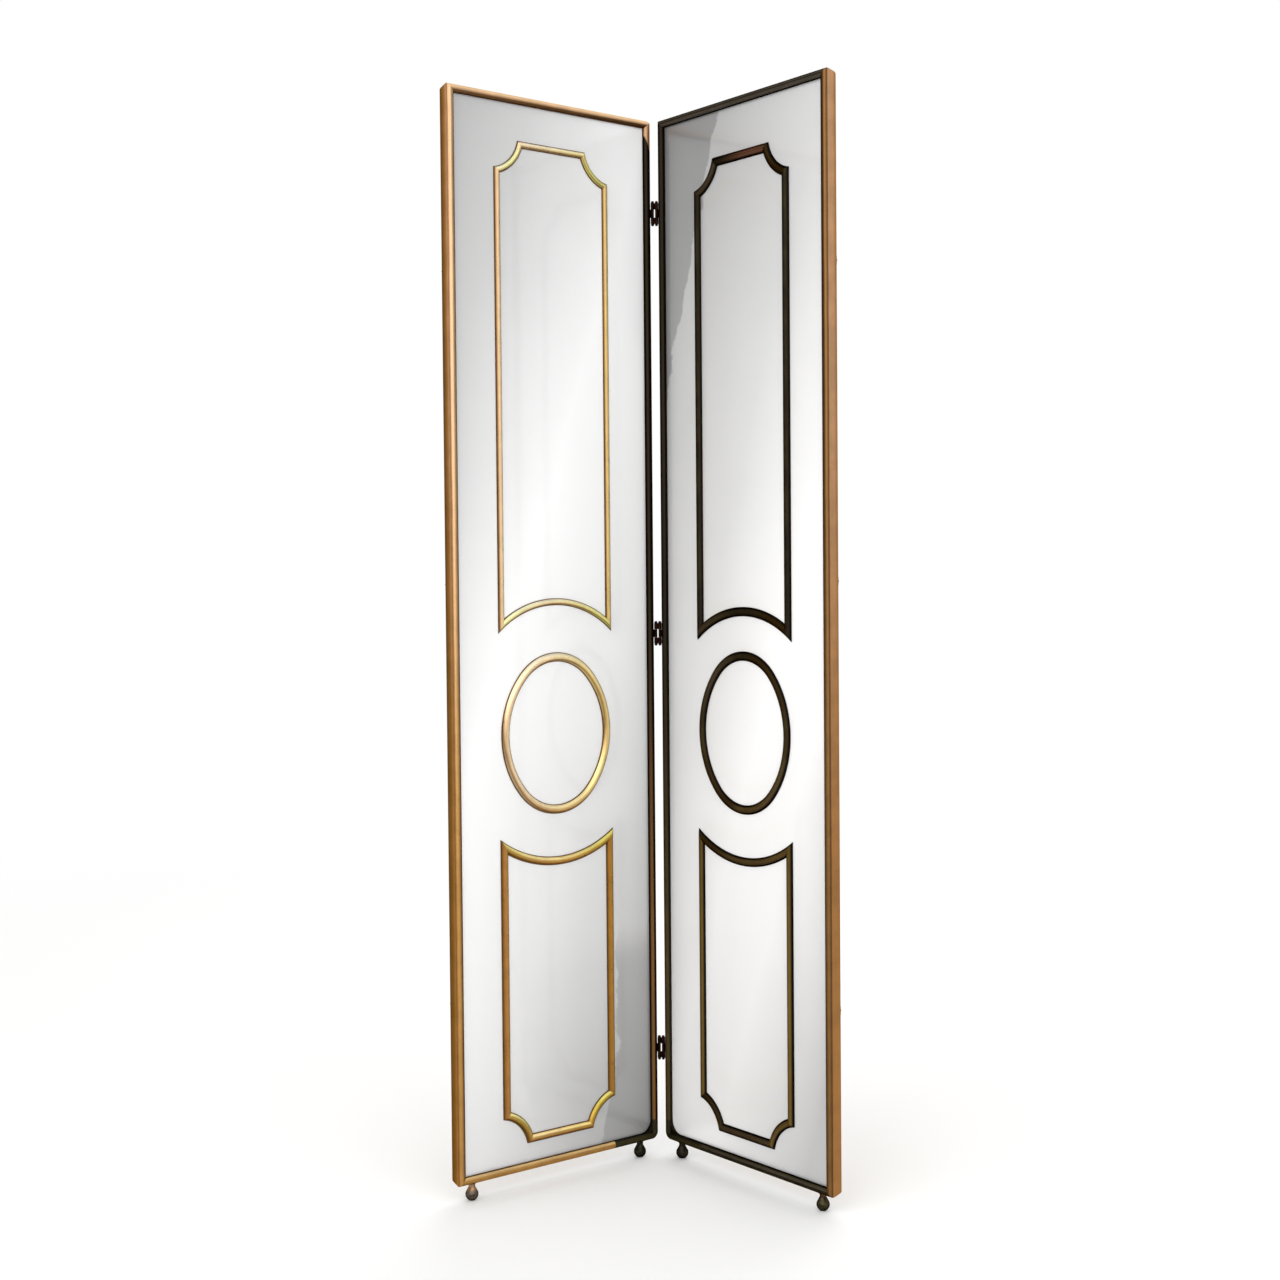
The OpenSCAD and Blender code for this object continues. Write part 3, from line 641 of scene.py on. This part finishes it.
def board(side):
    """Fibreboard with an upright grain."""
    finish = LeafFinish(side + "_back_board_fibre", side)
    upright = finish.stretched(finish.point, GRAIN_SCALES)
    grain = finish.noise(upright, 1.0, detail=5.0, roughness=0.6)
    fleck = finish.noise(finish.point, 0.8, detail=3.0, roughness=0.7)
    base = finish.mix(finish.spread(grain, *GRAIN_NOISE), BOARD_LIGHT, BOARD_DARK)
    base = finish.mix(finish.spread(fleck, *FLECK_NOISE, 0.0, FLECK_SHARE), base, BOARD_FLECK)
    finish.bump(grain, distance=GRAIN_DEPTH, strength=0.5)
    return finish.set(Base_Color=base, Roughness=finish.between(grain, *BOARD_ROUGHNESS))


# ---- A material for each piece ----

MOULDINGS = {"left": left_moulding(), "right": right_moulding()}
# Materials of a leaf's other parts, by words in their names; the links and pins of the hinges
# take the right leaf's
PARTS = {
    side: {
        "mirror_glass": mirror_glass(side),
        "back_board": board(side),
        "fitting": plain_brass(side + "_fitting_brass", side, **SATIN),
        "hinge": plain_brass(side + "_hinge_brass", side, **HINGE),
        "inner_foot": plain_brass(side + "_inner_foot_brass", side, **INNER_FOOT),
        "outer_foot": plain_brass(side + "_outer_foot_brass", side, **OUTER_FOOT[side]),
    }
    for side in SIDES
}
FITTINGS = ("clips", "screws", "pins")


def finish_of(node):
    if node in FOOT_BANDS:
        return bar_brass(node)
    side = "left" if node.startswith("left") else "right"
    if node.endswith(FITTINGS):
        return PARTS[side]["fitting"]
    for words, material in PARTS[side].items():
        if words in node:
            return material
    return MOULDINGS[side]


for name, piece in nodes.items():
    piece.data.materials.clear()
    piece.data.materials.append(finish_of(name))

# ---- Floor and backdrop: a pale floor that fades into pure white, under a white sky ----

WHITE = (1.0, 1.0, 1.0, 1.0)
FLOOR_TONE = (0.93, 0.93, 0.92, 1.0)
FLOOR_SIZE = 60
# Distances from the middle, in metres, over which the floor fades into white
FLOOR_FADES = (1.2, 4.5)
# Strength of the sky as light on the object, and as seen directly and in reflections
SKY_LIGHT, SKY_SEEN = 0.8, 1.0

bpy.ops.mesh.primitive_plane_add(size=FLOOR_SIZE, location=(0, 0, 0))
floor = bpy.context.object
floor.name = "studio_floor"
ground = Finish("studio_floor_paint")
radius = ground.add("VectorMath", operation="LENGTH")
ground.join(ground.coordinates["Object"], radius.inputs[0])
ground.set(Base_Color=FLOOR_TONE, Roughness=0.8)
glow = ground.add("Emission")
glow.inputs["Color"].default_value = WHITE
blend = ground.add("MixShader")
ground.join(ground.spread(radius.outputs["Value"], *FLOOR_FADES), blend.inputs[0])
ground.join(ground.shader.outputs[0], blend.inputs[1])
ground.join(glow.outputs[0], blend.inputs[2])
ground.join(blend.outputs[0], ground.tree.nodes["Material Output"].inputs["Surface"])
floor.data.materials.append(ground.material)

world = bpy.data.worlds.new("studio_world")
scene.world = world
world.use_nodes = True
sky = world.node_tree
backdrop = sky.nodes["Background"]
backdrop.inputs["Color"].default_value = WHITE
rays = sky.nodes.new("ShaderNodeLightPath")
seen = sky.nodes.new("ShaderNodeMath")
seen.operation = "MAXIMUM"
sky.links.new(rays.outputs["Is Camera Ray"], seen.inputs[0])
sky.links.new(rays.outputs["Is Glossy Ray"], seen.inputs[1])
strength = sky.nodes.new("ShaderNodeMapRange")
strength.inputs["To Min"].default_value = SKY_LIGHT
strength.inputs["To Max"].default_value = SKY_SEEN
sky.links.new(seen.outputs[0], strength.inputs["Value"])
sky.links.new(strength.outputs[0], backdrop.inputs["Strength"])


# ---- Lamps ----


def softbox(name, place, aim_height, size, power):
    """A soft lamp that points at the middle of the mirror, at a height above the floor."""
    lamp = bpy.data.lights.new(name, "AREA")
    lamp.shape = "RECTANGLE"
    lamp.size, lamp.size_y = size
    lamp.energy = power
    holder = bpy.data.objects.new(name, lamp)
    scene.collection.objects.link(holder)
    holder.location = place
    way = Vector((0, 0, aim_height)) - Vector(place)
    holder.rotation_euler = way.to_track_quat("-Z", "Y").to_euler()


softbox("key_light", place=(-1.9, -3.5, 3.3), aim_height=1.0, size=(3.2, 3.6), power=52)
softbox("fill_light", place=(2.3, -3.3, 2.6), aim_height=0.9, size=(3.0, 3.4), power=36)
softbox("front_light", place=(0.3, -4.2, 1.5), aim_height=0.9, size=(2.4, 2.4), power=26)
softbox("back_light", place=(0.6, 3.4, 3.2), aim_height=1.0, size=(3.8, 3.0), power=62)

# ---- Camera, at the viewing angle of the photograph ----

PHOTO_SIDE = 1280
# Focal length in pixels of the photograph
FOCAL_PIXELS = 1831
SENSOR = 36
CAMERA_PLACE = (0.3387, -3.1349, 1.0320)
HEADING = math.radians(6.46)
DIP = math.radians(1.70)
ROLL = math.radians(-0.49)

camera_data = bpy.data.cameras.new("camera")
camera_data.sensor_width = SENSOR
camera_data.lens = SENSOR * FOCAL_PIXELS / PHOTO_SIDE
camera_data.clip_end = 100
camera = bpy.data.objects.new("camera", camera_data)
scene.collection.objects.link(camera)
scene.camera = camera
turned = Matrix.Rotation(HEADING, 4, "Z") @ Matrix.Rotation(math.radians(90) - DIP, 4, "X")
camera.matrix_world = Matrix.Translation(CAMERA_PLACE) @ turned @ Matrix.Rotation(ROLL, 4, "Z")
scene.view_settings.view_transform = "Standard"
